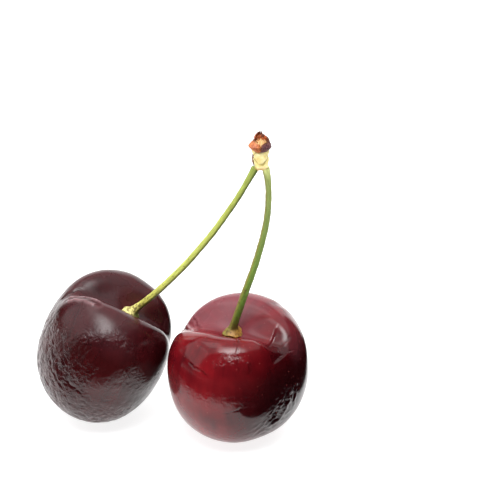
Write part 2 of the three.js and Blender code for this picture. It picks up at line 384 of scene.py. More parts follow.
def left_marks(fruit, points):
    """Heights, painted crease shade, crinkling and a painted ridge highlight of the skin of the left fruit.

    Heights, wavelengths and the widths of patches are in mm."""
    height, dark = pressed_marks(fruit, points, [
        ([(44, 298), (56, 308), (66, 314), (73, 317)], 0.26, 0.055, 0.020),
        ([(38, 262), (50, 265), (64, 268)], 0.30, 0.24, 0.05),
        ([(58, 325), (62, 336), (66, 340)], 0.20, 0.05, 0.02),
        ([(76, 312), (81, 318), (80, 325)], 0.26, 0.07, 0.04),
        ([(84, 320), (88, 325), (86, 331)], 0.26, 0.08, 0.03),
        ([(92, 330), (98, 337), (97, 343)], 0.28, 0.08, 0.03),
        ([(97, 345), (100, 352), (98, 358)], 0.20, 0.06, 0.02),
        ([(95, 366), (98, 371), (96, 376)], 0.26, 0.08, 0.03),
        ([(104, 350), (106, 358), (108, 364)], 0.20, 0.05, 0.02),
        ([(88, 296), (94, 302), (99, 306)], 0.24, 0.07, 0.03),
        ([(99, 318), (103, 325), (104, 333)], 0.24, 0.07, 0.03),
    ])
    ragged = patch(fruit, points, [(62, 326), (56, 338), (51, 350), (49, 364), (52, 376)], 1.4)
    pitted = patch(fruit, points, [(74, 312), (80, 320), (84, 330), (76, 340)], 3.2)
    lower = smooth_step(points[..., 2], 1.0, -6.0)
    shaded = smooth_step(points[..., 1], -4.0, -10.0) * smooth_step(points[..., 2], 8.0, 0.0)
    ridge, _ = groove(fruit, points, [(56, 279), (46, 284), (38, 296), (33, 314)], 0.40, 0.04, 0.32, 31)
    # A pale painted highlight along the raised lip of the ridge.
    scar = np.clip(ridge / 0.30, 0, 1)
    height = height + ridge + 0.04 * ripple(points, 11.0, 3) + 0.022 * ripple(points, 4.2, 4)
    height = height - 0.045 * ragged * np.clip(ripple(points, 0.9, 22), 0, 2)
    height = height - 0.05 * pitted * np.clip(np.abs(ripple(points, 1.5, 21)) - 0.35, 0, 1)
    creased = np.abs(ripple(points, 3.0, 23)) + 0.5 * np.abs(ripple(points, 1.6, 24))
    height = height - 0.17 * np.maximum(lower, shaded) * np.clip(0.9 - creased, 0, 1)
    streaky = patch(fruit, points, [(90, 338), (86, 352), (82, 5), (76, 17), (72, 28), (80, 38)], 2.0)
    height = height - 0.06 * streaky * np.clip(np.abs(ripple(points, 1.3, 25)) - 0.3, 0, 1)
    crinkle = np.maximum.reduce([ragged, 0.8 * pitted, 0.8 * streaky, 0.75 * lower, 0.75 * shaded])
    return height, dark, np.clip(crinkle, 0.05, 1), scar


def right_marks(fruit, points):
    """The same four for the skin of the right fruit."""
    height, dark = pressed_marks(fruit, points, [
        ([(50, 256), (38, 262), (26, 272)], 0.22, 0.14, 0.12),
        ([(4, 52), (20, 38), (32, 33), (42, 32), (50, 33)], 0.20, 0.06, 0.015),
        ([(46, 340), (48, 348), (48, 356), (51, 366)], 0.17, 0.10, 0.02),
        ([(30, 152), (40, 153), (52, 154), (66, 155)], 0.90, 0.10, 0.04),
        ([(24, 86), (36, 82), (50, 78)], 2.60, 0.75, 0.0),
        ([(26, 104), (34, 102), (44, 98)], 1.10, 0.22, 0.0),
        ([(72, 73), (82, 71), (91, 68), (99, 63), (104, 52)], 0.42, 0.26, 0.20),
        ([(74, 82), (86, 79), (97, 77)], 0.30, 0.12, 0.08),
        ([(88, 60), (95, 57), (101, 50)], 0.28, 0.14, 0.10),
        ([(81, 17), (79, 25), (76, 33)], 0.12, 0.10, 0.01),
        ([(62, 36), (66, 41), (68, 47)], 0.30, 0.05, 0.05),
        ([(40, 44), (46, 43), (50, 42)], 0.28, 0.07, 0.02),
    ])
    suture = [(60, 262), (44, 271), (31, 280), (24, 296)]
    seam, furrow = groove(fruit, points, suture, 0.28, 0.18, 0.20, 32)
    # A pale painted highlight along the raised lips of the seam.
    scar = np.clip(seam / 0.18, 0, 1)
    # Painted shade in the furrow of the seam too.
    height, dark = height + seam, np.maximum(dark, 0.8 * furrow)
    ragged = patch(fruit, points, [(42, 12), (39, 22), (40, 32), (43, 42)], 0.9)
    broken = patch(fruit, points, [(68, -20), (70, 0), (69, 20), (70, 40)], 1.8)
    folded = patch(fruit, points, [(78, 72), (90, 67), (98, 60), (104, 50)], 2.9)
    lower = smooth_step(points[..., 2], -1.0, -7.0)
    brim = patch(fruit, points, [(25, -20), (24, 5), (24, 30), (25, 54)], 3.2)
    height = height + 0.85 * brim + 0.09 * ripple(points, 12.0, 5) + 0.018 * ripple(points, 4.6, 6)
    height = height - 0.035 * ragged * np.clip(ripple(points, 0.9, 44), 0, 2)
    height = height - 0.12 * folded * np.clip(np.abs(ripple(points, 1.7, 43)) - 0.3, 0, 1)
    height = height + 0.008 * lower * ripple(points * np.array([1.0, 1.0, 1.6]), 2.0, 45)
    height = height - 0.020 * broken * np.clip(ripple(points, 1.1, 47), 0, 2)
    crinkle = np.clip(np.maximum.reduce([0.8 * ragged, 0.7 * folded, 0.7 * broken, 0.35 * lower]), 0.03, 1)
    return height, dark, crinkle, scar


def closed_mesh(name, rings, along=None, **levels):
    """A mesh over rings of points in millimetres, each joined to the next and to itself.

    Fans close the first and last rings. The UV map runs once round (x) and along
    the rings (y), and each level given by name becomes an attribute. The sign of
    the enclosed volume turns all faces outwards."""
    count, around = rings.shape[:2]
    points = np.vstack([rings.reshape(-1, 3), rings[0].mean(0), rings[-1].mean(0)]) * 0.001
    index = np.arange(count * around).reshape(count, around)
    after = np.roll(index, -1, 1)
    quads = np.stack([index[:-1], index[1:], after[1:], after[:-1]], -1).reshape(-1, 4)
    ends = np.full(around, count * around)
    fans = np.vstack([
        np.stack([ends, index[0], after[0]], -1),
        np.stack([ends + 1, after[-1], index[-1]], -1),
    ])
    x = np.arange(around + 1) / around
    y = np.linspace(0, 1, count) if along is None else along
    x0, y0 = np.meshgrid(x[:-1], y[:-1])
    x1, y1 = np.meshgrid(x[1:], y[1:])
    quad_uv = np.stack([x0, y0, x0, y1, x1, y1, x1, y0], -1).reshape(-1, 4, 2)
    mid, low, high = (x[:-1] + x[1:]) / 2, np.full(around, y[0]), np.full(around, y[-1])
    fan_uv = np.vstack([
        np.stack([mid, low, x[:-1], low, x[1:], low], -1),
        np.stack([mid, high, x[1:], high, x[:-1], high], -1),
    ]).reshape(-1, 3, 2)
    corner = points[quads]
    first = np.einsum("ij,ij->i", corner[:, 0], np.cross(corner[:, 1], corner[:, 2])).sum()
    second = np.einsum("ij,ij->i", corner[:, 0], np.cross(corner[:, 2], corner[:, 3])).sum()
    if first + second < 0:
        quads, fans, quad_uv, fan_uv = quads[:, ::-1], fans[:, ::-1], quad_uv[:, ::-1], fan_uv[:, ::-1]
    mesh = bpy.data.meshes.new(name)
    mesh.from_pydata(points.tolist(), [], quads.tolist() + fans.tolist())
    mesh.polygons.foreach_set("use_smooth", np.ones(len(mesh.polygons), bool))
    uv = np.concatenate([quad_uv.reshape(-1), fan_uv.reshape(-1)])
    mesh.uv_layers.new(name="around_along").data.foreach_set("uv", uv)
    for level_name, level in levels.items():
        values = np.concatenate([level.reshape(-1), [level[0].mean(), level[-1].mean()]])
        mesh.attributes.new(level_name, "FLOAT", "POINT").data.foreach_set("value", values)
    mesh.update()
    piece = bpy.data.objects.new(name, mesh)
    scene.collection.objects.link(piece)
    return piece


def grow_fruit(fruit, name, marks):
    """The fruit with its marks raised along the surface's own normals, standing on z = 0."""
    tilt = np.linspace(0, np.pi, RINGS + 2)[1:-1, None]
    turn = np.linspace(0, 2 * np.pi, COLUMNS, endpoint=False)[None, :]
    step = 1e-3
    points = fruit_surface(fruit, tilt, turn)
    down = fruit_surface(fruit, tilt + step, turn) - fruit_surface(fruit, tilt - step, turn)
    across = fruit_surface(fruit, tilt, turn + step) - fruit_surface(fruit, tilt, turn - step)
    normal = np.cross(down, across)
    normal /= np.linalg.norm(normal, axis=-1, keepdims=True) + 1e-12
    height, dark, crinkle, scar = marks(fruit, points)
    axes, middle = fruit_stance(fruit)
    rings = (points + normal * height[..., None]) @ axes.T + middle
    rings[..., 2] = np.maximum(rings[..., 2], 0.0)
    # Painted shade, strongest on the side towards the suture and turned round by the fruit's own angle.
    riper = 0.95 * smooth_step(np.sin(turn - fruit["riper"]) * np.sin(tilt), 0.25, 0.95)
    # Bloom round the stalk: a duller skin, whose paler colour is a painted sheen.
    bloom = smooth_step(points[..., 2], 5.5, 9.5) * (1 - 0.75 * smooth_step(points[..., 1], -2.0, 7.0))
    bloom = bloom * smooth_step(fruit["bloom_edge"] - points[..., 0], 0.0, 3.0)
    # The mark level carries the painted shade of the creases.
    return closed_mesh(name, rings, mark=dark, crinkle=crinkle, riper=riper, bloom=bloom, scar=scar)


def waxy_skin(name, side_shade_colour, deep, bright, blush, dust_and_sheen, dust_and_sheen_strength, fold_depth):
    """Ripe cherry skin: pigment lies under a thin clear wax, so the colour is deep and the
    reflections are clean but softly broken. The side towards the suture is darkened with
    painted shade. Round the stalk a dusty bloom is left, which is duller, and its colour
    there is paler with a painted sheen; the ridges of old folds carry a pale, pinkish
    painted highlight, and the cores of the creases are darkened with painted shade.
    Blotches 7 mm wide and streaks down from the stalk vary the pigment, and pale pores
    lie 1.3 mm apart. The wax has a 0.5 mm grain; where the skin is crinkled, folds about
    1.3 mm apart break it."""
    material, shader = new_material(name)
    place = add_node(material, "ShaderNodeTexCoord")
    blotch = add_node(material, "ShaderNodeTexNoise", {}, {
        "Vector": place.outputs["Object"], "Scale": 1 / 0.007, "Detail": 3.0, "Roughness": 0.55,
    })
    stretch = add_node(material, "ShaderNodeMapping", {}, {
        "Vector": place.outputs["UV"], "Scale": (46.0, 3.0, 1.0),
    })
    streak = add_node(material, "ShaderNodeTexNoise", {}, {
        "Vector": stretch.outputs["Vector"], "Scale": 1.0, "Detail": 4.0, "Roughness": 0.6,
    })
    mixed = add_node(material, "ShaderNodeMath", {"operation": "MULTIPLY_ADD"}, {
        0: streak.outputs["Fac"], 1: 0.45, 2: blotch.outputs["Fac"],
    })
    pigment = add_node(material, "ShaderNodeValToRGB", {}, {
        "Fac": mixed.outputs["Value"],
    }, [(0.46, deep), (0.95, bright)])
    # Painted shade: the side towards the suture is darkened to the shade colour.
    riper = add_node(material, "ShaderNodeAttribute", {"attribute_name": "riper"})
    ripe = add_node(material, "ShaderNodeMix", {"data_type": "RGBA"}, {
        "Factor": riper.outputs["Fac"], "A": pigment.outputs["Color"], "B": linear(side_shade_colour),
    })
    pores = add_node(material, "ShaderNodeTexVoronoi", {}, {
        "Vector": place.outputs["Object"], "Scale": 1 / 0.0013, "Randomness": 1.0,
    })
    pore = add_node(material, "ShaderNodeMapRange", {}, {
        "Value": pores.outputs["Distance"], "From Min": 0.06, "From Max": 0.13,
        "To Min": 0.22, "To Max": 0.0,
    })
    colour = add_node(material, "ShaderNodeMix", {"data_type": "RGBA"}, {
        "Factor": pore.outputs["Result"], "A": ripe.outputs["Result"], "B": linear(blush),
    })
    # Mixed in turn: the bloom's paler colour, a painted sheen; the pale painted highlight on ridges; painted
    # shade in the creases.
    for level, most, tint in [
        ("bloom", dust_and_sheen_strength, dust_and_sheen), ("scar", 0.42, "#c79ca0"), ("mark", 0.6, "#140305"),
    ]:
        spread = add_node(material, "ShaderNodeAttribute", {"attribute_name": level})
        share = add_node(material, "ShaderNodeMapRange", {}, {"Value": spread.outputs["Fac"], "To Max": most})
        colour = add_node(material, "ShaderNodeMix", {"data_type": "RGBA"}, {
            "Factor": share.outputs["Result"], "A": colour.outputs["Result"], "B": linear(tint),
        })
    grain = add_node(material, "ShaderNodeTexNoise", {}, {
        "Vector": place.outputs["Object"], "Scale": 1 / 0.0005, "Detail": 2.0, "Roughness": 0.5,
    })
    dulled = add_node(material, "ShaderNodeMapRange", {}, {
        "Value": blotch.outputs["Fac"], "From Min": 0.35, "From Max": 0.7,
        "To Min": 0.10, "To Max": 0.18,
    })
    bloom = add_node(material, "ShaderNodeAttribute", {"attribute_name": "bloom"})
    duller = add_node(material, "ShaderNodeMath", {"operation": "MULTIPLY_ADD"}, {
        0: bloom.outputs["Fac"], 1: 0.14, 2: dulled.outputs["Result"],
    })
    waxed = add_node(material, "ShaderNodeBump", {}, {
        "Height": grain.outputs["Fac"], "Strength": 0.5, "Distance": 0.000012,
    })
    folds = add_node(material, "ShaderNodeTexNoise", {}, {
        "Vector": place.outputs["Object"], "Scale": 1 / 0.0013, "Detail": 4.0,
        "Roughness": 0.62, "Distortion": 0.6,
    })
    crinkled = add_node(material, "ShaderNodeAttribute", {"attribute_name": "crinkle"})
    raised = add_node(material, "ShaderNodeMath", {"operation": "MULTIPLY"}, {
        0: folds.outputs["Fac"], 1: crinkled.outputs["Fac"],
    })
    bump = add_node(material, "ShaderNodeBump", {}, {
        "Height": raised.outputs["Value"], "Strength": 1.0, "Distance": fold_depth,
        "Normal": waxed.outputs["Normal"],
    })
    set_inputs(material, shader, {
        "Base Color": colour.outputs["Result"], "Roughness": duller.outputs["Value"],
        "Normal": bump.outputs["Normal"], "IOR": 1.48,
    })
    return material


# Colours: painted side shade, pigment deep and bright, pores, the bloom's paler colour with its painted sheen
# and its strength; last the depth of the folds.
left_skin = waxy_skin(
    "waxy_skin_dark_maroon", "#120304", "#220607", "#400b0e", "#7a3034", "#6a323e", 0.12, 0.00050,
)
right_skin = waxy_skin(
    "waxy_skin_dark_red", "#120204", "#450810", "#7c1219", "#a85a52", "#a4646f", 0.34, 0.00035,
)

for fruit, name, marks, skin, slot in [
    (LEFT_FRUIT, "left_fruit", left_marks, left_skin, "left_skin"),
    (RIGHT_FRUIT, "right_fruit", right_marks, right_skin, "right_skin"),
]:
    piece = grow_fruit(fruit, name, marks)
    piece.data.materials.append(skin)
    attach(piece, "root")
    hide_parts(fruit["node"])


# ---------------------------------------------------------------------------
# Stalks: green, slightly ribbed and a little over 1 mm thick. Each flares into
# a thin pale saucer, the foot, that is grown to the floor of the fruit's trough,
# and its other end runs into the collar of the spur.
# ---------------------------------------------------------------------------

# In mm. The foot's underside is a shallow bowl. It is lifted to the floor of the trough
# and kept just clear of it, with the crown of the fruit taken as part of a sphere.
FOOT_RADIUS = 1.8
FOOT_UNDERSIDE = 0.95
FOOT_RIM = 0.10
FOOT_SINK = 0.02
FOOT_CLEARANCE = 0.06
NECK_LENGTH = 5.0
CROWN_RADIUS = 13.0
INTO_COLLAR = 0.35
STALK_SIDES = 30

# The edge is the angle round the stalk of a line down one side: on the left stalk the underside, darkened
# with painted shade; on the right stalk a brownish line.
LEFT_STALK = {
    "node": "left_stalk", "leave": (0.77, -0.05, 0.6), "meet": (0.42, -0.1, 0.9),
    "leave_reach": 13.0, "meet_reach": 12.0, "side": -1.0, "lower": 0.66, "upper": 0.54,
    "edge": -0.55, "trumpet": 0.28,
}
RIGHT_STALK = {
    "node": "right_stalk", "leave": (0.25, 0.1, 0.9), "meet": (-0.2, -0.1, 1.0),
    "leave_reach": 12.0, "meet_reach": 12.0, "side": 0.85, "lower": 0.72, "upper": 0.54,
    "edge": 3.3, "trumpet": 0.10,
}

collar_low, collar_high = node_box("spur_collar")
SPUR_LEAN = -0.02
spur_axis = np.array([SPUR_LEAN, 0.0, 1.0]) / np.hypot(SPUR_LEAN, 1.0)
spur_base = np.array([*((collar_low + collar_high) / 2)[:2], collar_low[2]])
spur_base[0] -= SPUR_LEAN * (collar_high[2] - collar_low[2]) / 2


def unit(vector):
    """A vector, or an array of vectors, at length 1."""
    vector = np.asarray(vector, float)
    return vector / np.linalg.norm(vector, axis=-1, keepdims=True)


def stalk_curve(stalk, fruit):
    """Points of the stalk's middle line, their distances along it and the fruit's axes.

    A cubic curve from the floor of the trough to the collar, which leaves and
    arrives along the two given directions."""
    axes, middle = fruit_stance(fruit)
    floor = fruit_surface(fruit, np.array(0.0), np.array(0.0))[2] - FOOT_SINK
    start = axes @ np.array([0.0, fruit["seat"], floor]) + middle
    end = spur_base + np.array([stalk["side"], 0.0, 0.0]) + spur_axis * INTO_COLLAR
    first = start + unit(stalk["leave"]) * stalk["leave_reach"]
    second = end - unit(stalk["meet"]) * stalk["meet_reach"]
    t = np.linspace(0, 1, 600)[:, None]
    line = (1 - t) ** 3 * start + 3 * (1 - t) ** 2 * t * first + 3 * (1 - t) * t ** 2 * second + t ** 3 * end
    lengths = np.concatenate([[0.0], np.cumsum(np.linalg.norm(np.diff(line, axis=0), axis=1))])
    return line, lengths, axes


def grow_stalk(stalk, fruit, name, seed):
    """A round profile carried along the curve: a bowed underside, a thin rim, a trumpet
    that falls off within two millimetres, an even taper, and a swelling at the collar.
    Ribs, slow bumps and a wavy rim are added to the radius round each ring, and the
    underside is lifted or lowered to the floor of the trough under it."""
    line, lengths, axes = stalk_curve(stalk, fruit)
    pole = axes[:, 2]
    length = lengths[-1]

    # The profile: each ring's height along the stalk and its radius.
    bowl = np.linspace(0.12, 1.0, 12)
    neck = FOOT_UNDERSIDE + FOOT_RIM + NECK_LENGTH * np.linspace(0, 1, 60) ** 1.6
    shaft = np.linspace(neck[-1], length, 190)[1:]
    upper = np.concatenate([neck, shaft])
    height = np.concatenate([FOOT_UNDERSIDE * bowl ** 2, [FOOT_UNDERSIDE + 0.04], upper])
    even = stalk["lower"] + (stalk["upper"] - stalk["lower"]) * upper / length
    past = upper - FOOT_UNDERSIDE - FOOT_RIM
    flare = (1 - stalk["trumpet"]) * np.exp(-past / 0.22) + stalk["trumpet"] * np.exp(-((past / 1.4) ** 2))
    flare = (FOOT_RADIUS - stalk["lower"]) * flare
    swelling = 0.16 * np.exp(-(((length - upper) / 2.2) ** 2))
    radius = np.concatenate([FOOT_RADIUS * bowl, [FOOT_RADIUS + 0.05], even + flare + swelling])

    # The path: the foot's rings stand square to the fruit's axis, the others to the curve.
    centre = np.stack([np.interp(height, lengths, line[:, i]) for i in range(3)], -1)
    tangent = unit(np.gradient(line, axis=0))
    tangent = unit(np.stack([np.interp(height, lengths, tangent[:, i]) for i in range(3)], -1))
    follow = smooth_step(height, FOOT_UNDERSIDE, 4.5)[:, None]
    heading = unit(pole * (1 - follow) + tangent * follow)
    side = unit(np.cross((0.0, 1.0, 0.0), heading))
    front = np.cross(heading, side)

    # The rind: ribs, bumps and a wavy rim.
    angle = np.linspace(0, 2 * np.pi, STALK_SIDES, endpoint=False)[None, :]
    tall = height[:, None]
    rng = np.random.default_rng(seed)
    phase = rng.uniform(0, 2 * np.pi, 6)
    ribs = 0.016 * np.sin(5 * angle + 0.05 * tall + phase[0])
    ribs = ribs + 0.010 * np.sin(9 * angle - 0.09 * tall + phase[1])
    bumps = 0.014 * np.sin(1.9 * tall + 2 * angle + phase[2]) + 0.010 * np.sin(4.3 * tall - angle + phase[3])
    bumps = bumps + 0.020 * np.sin(0.7 * tall + phase[4]) * np.cos(angle + phase[5])
    near_foot = np.exp(-((tall - FOOT_UNDERSIDE) / 0.7) ** 2)
    wavy = near_foot * (0.07 * np.sin(3 * angle + phase[0]) + 0.04 * np.sin(7 * angle + phase[2]))
    settled = smooth_step(tall, 0.6, 2.2)
    reach = radius[:, None] * (1 + wavy) + settled * (ribs + bumps)
    spokes = np.cos(angle)[..., None] * side[:, None] + np.sin(angle)[..., None] * front[:, None]
    rings = centre[:, None] + reach[..., None] * spokes

    # The seat: how high the floor of the trough rises under each point of the foot.
    outward = spokes[0] @ axes[:, :2]
    u, v = reach * outward[..., 0], reach * outward[..., 1]
    trough = 1 - np.exp(-((u / fruit["width"]) ** 2) - (v / fruit["toward_suture"]) ** 2)
    dimple = 1 - np.exp(-(u ** 2 + v ** 2) / fruit["seat_radius"] ** 2)
    crown = (u ** 2 + v ** 2) / (2 * CROWN_RADIUS)
    floor = fruit["depth"] * trough + fruit["seat_depth"] * dimple - crown
    rests = np.exp(-((np.maximum(tall - FOOT_UNDERSIDE, 0.0) / 0.5) ** 2))
    lift = (floor + FOOT_CLEARANCE - FOOT_UNDERSIDE * (reach / FOOT_RADIUS) ** 2) * rests
    rings = rings + lift[..., None] * pole
    # A line down one side of the stalk: painted shade on the underside of the left stalk, a brownish line on
    # the right one.
    side_line = smooth_step(np.cos(angle - stalk["edge"]), 0.50, 0.95) * np.ones_like(tall)
    piece = closed_mesh(name, rings, along=height / length, mark=side_line)
    return piece, length


def green_stalk(name, length, shades, edge, rust, spotted):
    """Fresh cherry stalk: a smooth green rind, satin rather than glossy, with fine
    lengthwise fibres about 0.15 mm apart. It pales to cream at the foot and at the
    collar, a line runs down one side of it, painted shade on the underside of the left
    stalk and a brownish line on the right stalk, and rusty flecks about 0.3 mm wide
    gather above the foot."""
    material, shader = new_material(name)
    place = add_node(material, "ShaderNodeTexCoord")
    split = add_node(material, "ShaderNodeSeparateXYZ", {}, {"Vector": place.outputs["UV"]})
    tint = add_node(material, "ShaderNodeValToRGB", {}, {"Fac": split.outputs["Y"]}, shades)
    stretch = add_node(material, "ShaderNodeMapping", {}, {
        "Vector": place.outputs["UV"], "Scale": (24.0, length / 2.2, 1.0),
    })
    fibre = add_node(material, "ShaderNodeTexNoise", {}, {
        "Vector": stretch.outputs["Vector"], "Scale": 1.0, "Detail": 4.0, "Roughness": 0.6,
    })
    lit = add_node(material, "ShaderNodeMapRange", {}, {
        "Value": fibre.outputs["Fac"], "From Min": 0.3, "From Max": 0.7, "To Min": 0.72, "To Max": 1.22,
    })
    fibred = add_node(material, "ShaderNodeMix", {"data_type": "RGBA", "blend_type": "MULTIPLY"}, {
        "Factor": 1.0, "A": tint.outputs["Color"], "B": lit.outputs["Result"],
    })
    fleck = add_node(material, "ShaderNodeTexNoise", {}, {
        "Vector": place.outputs["Object"], "Scale": 1 / 0.00055, "Detail": 3.0, "Roughness": 0.65,
    })
    lower = add_node(material, "ShaderNodeMapRange", {}, {
        "Value": split.outputs["Y"], "From Min": 0.03, "From Max": 0.42, "To Min": spotted, "To Max": 0.02,
    })
    gather = add_node(material, "ShaderNodeMath", {"operation": "ADD"}, {
        0: fleck.outputs["Fac"], 1: lower.outputs["Result"],
    })
    spot = add_node(material, "ShaderNodeMapRange", {}, {
        "Value": gather.outputs["Value"], "From Min": 0.68, "From Max": 0.76, "To Max": 0.8,
    })
    # Painted shade down the underside of the left stalk, a brownish line down the right one.
    marks = add_node(material, "ShaderNodeAttribute", {"attribute_name": "mark"})
    lined = add_node(material, "ShaderNodeMapRange", {}, {"Value": marks.outputs["Fac"], "To Max": 0.9})
    sided = add_node(material, "ShaderNodeMix", {"data_type": "RGBA"}, {
        "Factor": lined.outputs["Result"], "A": fibred.outputs["Result"], "B": linear(edge),
    })
    colour = add_node(material, "ShaderNodeMix", {"data_type": "RGBA"}, {
        "Factor": spot.outputs["Result"], "A": sided.outputs["Result"], "B": linear(rust),
    })
    bump = add_node(material, "ShaderNodeBump", {}, {
        "Height": fibre.outputs["Fac"], "Strength": 0.6, "Distance": 0.00006,
    })
    set_inputs(material, shader, {
        "Base Color": colour.outputs["Result"], "Normal": bump.outputs["Normal"],
        "Roughness": 0.42, "IOR": 1.42,
    })
    return material


# Shades along a stalk, from the foot at 0 to the collar at 1.
LEFT_SHADES = [
    (0.0, "#f4eba4"), (0.045, "#e8dd88"), (0.10, "#c9c45e"), (0.30, "#c8cf66"),
    (0.75, "#b0b955"), (1.0, "#97a648"),
]
RIGHT_SHADES = [
    (0.0, "#d9ae62"), (0.034, "#b08238"), (0.048, "#4e4218"), (0.11, "#566c20"), (0.35, "#718f36"),
    (0.72, "#86984e"), (0.93, "#9aa85a"), (1.0, "#d2d886"),
]

# The edge colour is painted shade on the left stalk and a brownish line on the right one.
for stalk, fruit, side, seed, shades, edge, rust, spotted in [
    (LEFT_STALK, LEFT_FRUIT, "left", 61, LEFT_SHADES, "#46581a", "#5a4a1c", 0.19),
    (RIGHT_STALK, RIGHT_FRUIT, "right", 62, RIGHT_SHADES, "#8c843e", "#5a3d1c", 0.20),
]:
    piece, length = grow_stalk(stalk, fruit, side + "_stalk_and_foot", seed)
    piece.data.materials.append(green_stalk(side + "_green_rind", length, shades, edge, rust, spotted))
    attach(piece, "root")
    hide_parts(stalk["node"])


# ---------------------------------------------------------------------------
# Collar: the soft, pale yellow base that both stalks grow from. It has dried a
# little, so it is lumpy, with sagging folds round it and a lobe for each stalk.
# ---------------------------------------------------------------------------

# The collar is an oval, narrower in depth than across, and ends inside the scales.
COLLAR_RADIUS = 1.42
COLLAR_DEPTH_SHARE = 0.82
UNDER_SCALES = 0.70
collar_height = collar_high[2] - collar_low[2] + UNDER_SCALES


def level_vectors(across, depth):
    """Level vectors from their parts across (+X) and in depth (+Y)."""
    return np.stack([across, depth, np.zeros_like(across)], -1)


def on_spur(across, depth, height):
    """Places given across (+X), in depth (+Y) and in height along the spur's leaning axis."""
    return spur_base + level_vectors(across, depth) + np.asarray(height)[..., None] * spur_axis


def grow_collar():
    """An oval drum: the radius round each ring has a lobe over each stalk at the foot,
    a shield-shaped bulge above, and sagging folds, each a bell-shaped groove whose
    height dips at the front."""
    angle = np.linspace(0, 2 * np.pi, 120, endpoint=False)[None, :]
    side = np.concatenate([np.full(9, 0.0), np.linspace(0, 1, 90), np.full(8, 1.0)])[:, None]
    inward = np.concatenate([np.linspace(0.1, 0.94, 9), np.full(90, 1.0), np.linspace(0.94, 0.1, 8)])[:, None]
    rounded = inward * (1 - 0.16 * np.exp(-side / 0.05) - 0.14 * np.exp(-(1 - side) / 0.05))
    facing = -np.sin(angle)
    lobes = 0.13 * np.exp(-((side / 0.3) ** 2)) * np.cos(2 * angle) - 0.26 * np.exp(-((side / 0.40) ** 2))
    lobes = lobes + 0.09 * np.exp(-(((side - 0.3) / 0.2) ** 2)) * np.cos(angle)
    shield = 0.07 * np.exp(-(((side - 0.78) / 0.22) ** 2))
    shield = shield - 0.11 * np.exp(-(((side - 0.42) / 0.12) ** 2)) * facing
    folds = 0.0
    for place, dip, width, depth, seed in [(0.54, 0.22, 0.055, 0.22, 71), (0.72, -0.10, 0.040, 0.13, 72)]:
        rng = np.random.default_rng(seed)
        wander = 0.06 * np.sin(2 * angle + rng.uniform(0, 6)) + 0.04 * np.sin(5 * angle + rng.uniform(0, 6))
        level = place - dip * np.abs(facing) ** 3 * np.sign(facing) + wander
        partial = 0.6 + 0.4 * np.sin(3 * angle + rng.uniform(0, 6))
        folds = folds - depth * partial * np.exp(-(((side - level) / width) ** 2))
    radius = COLLAR_RADIUS * (1 + lobes + shield) + folds
    across = radius * rounded * np.cos(angle)
    depth = radius * rounded * np.sin(angle) * COLLAR_DEPTH_SHARE
    notch = 0.15 * np.exp(-((side / 0.22) ** 2)) * np.exp(-((across / 0.55) ** 2))
    height = side * collar_height + notch + 0.10 * np.exp(-((side / 0.1) ** 2)) * (1 - inward)
    rings = on_spur(across, depth, height)
    lumps = 0.060 * ripple(rings, 1.1, 75) + 0.022 * ripple(rings, 0.45, 76)
    outward = unit(level_vectors(across, depth))
    rings = rings + outward * (lumps * smooth_step(inward, 0.2, 1.0))[..., None]
    # Painted shade in the folds, deeper folds darker.
    creased = np.clip(-folds / 0.14, 0, 0.85)
    return closed_mesh("wrinkled_collar", rings, mark=creased)


def soft_bark(name, pale, warm, fold_shade, edge):
    """Soft young bark, half dried: matt and waxy, cream where it is taut, darkened to olive
    in the folds with painted shade, and orange-brown at its lower edge. Blotches are
    1.2 mm wide and the grain 0.12 mm, drawn a little coarser than it is so that it shows."""
    material, shader = new_material(name)
    place = add_node(material, "ShaderNodeTexCoord")
    split = add_node(material, "ShaderNodeSeparateXYZ", {}, {"Vector": place.outputs["UV"]})
    blotch = add_node(material, "ShaderNodeTexNoise", {}, {
        "Vector": place.outputs["Object"], "Scale": 1 / 0.0012, "Detail": 3.0, "Roughness": 0.6,
    })
    base = add_node(material, "ShaderNodeValToRGB", {}, {
        "Fac": blotch.outputs["Fac"],
    }, [(0.36, warm), (0.60, pale)])
    marks = add_node(material, "ShaderNodeAttribute", {"attribute_name": "mark"})
    # Painted shade: olive in the folds.
    folded = add_node(material, "ShaderNodeMix", {"data_type": "RGBA"}, {
        "Factor": marks.outputs["Fac"], "A": base.outputs["Color"], "B": linear(fold_shade),
    })
    low = add_node(material, "ShaderNodeMapRange", {}, {
        "Value": split.outputs["Y"], "From Min": 0.08, "From Max": 0.24, "To Min": 0.85, "To Max": 0.0,
    })
    colour = add_node(material, "ShaderNodeMix", {"data_type": "RGBA"}, {
        "Factor": low.outputs["Result"], "A": folded.outputs["Result"], "B": linear(edge),
    })
    grain = add_node(material, "ShaderNodeTexNoise", {}, {
        "Vector": place.outputs["Object"], "Scale": 1 / 0.00022, "Detail": 3.0, "Roughness": 0.6,
    })
    bump = add_node(material, "ShaderNodeBump", {}, {
        "Height": grain.outputs["Fac"], "Strength": 0.7, "Distance": 0.00005,
    })
    set_inputs(material, shader, {
        "Base Color": colour.outputs["Result"], "Normal": bump.outputs["Normal"],
        "Roughness": 0.5, "IOR": 1.42,
    })
    return material


collar = grow_collar()
# The olive is painted shade in the folds.
collar.data.materials.append(soft_bark("soft_cream_bark", "#fff6bc", "#f8e08a", "#ae9640", "#bf8038"))
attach(collar, "root")
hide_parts("spur_collar")


# ---------------------------------------------------------------------------
# Tip: the woody end of the spur, which stands inside the scales. It is dry,
# furrowed and broken off unevenly at the top.
# ---------------------------------------------------------------------------

TIP_RADIUS = 0.64
tip_low, tip_high = node_box("spur_tip")


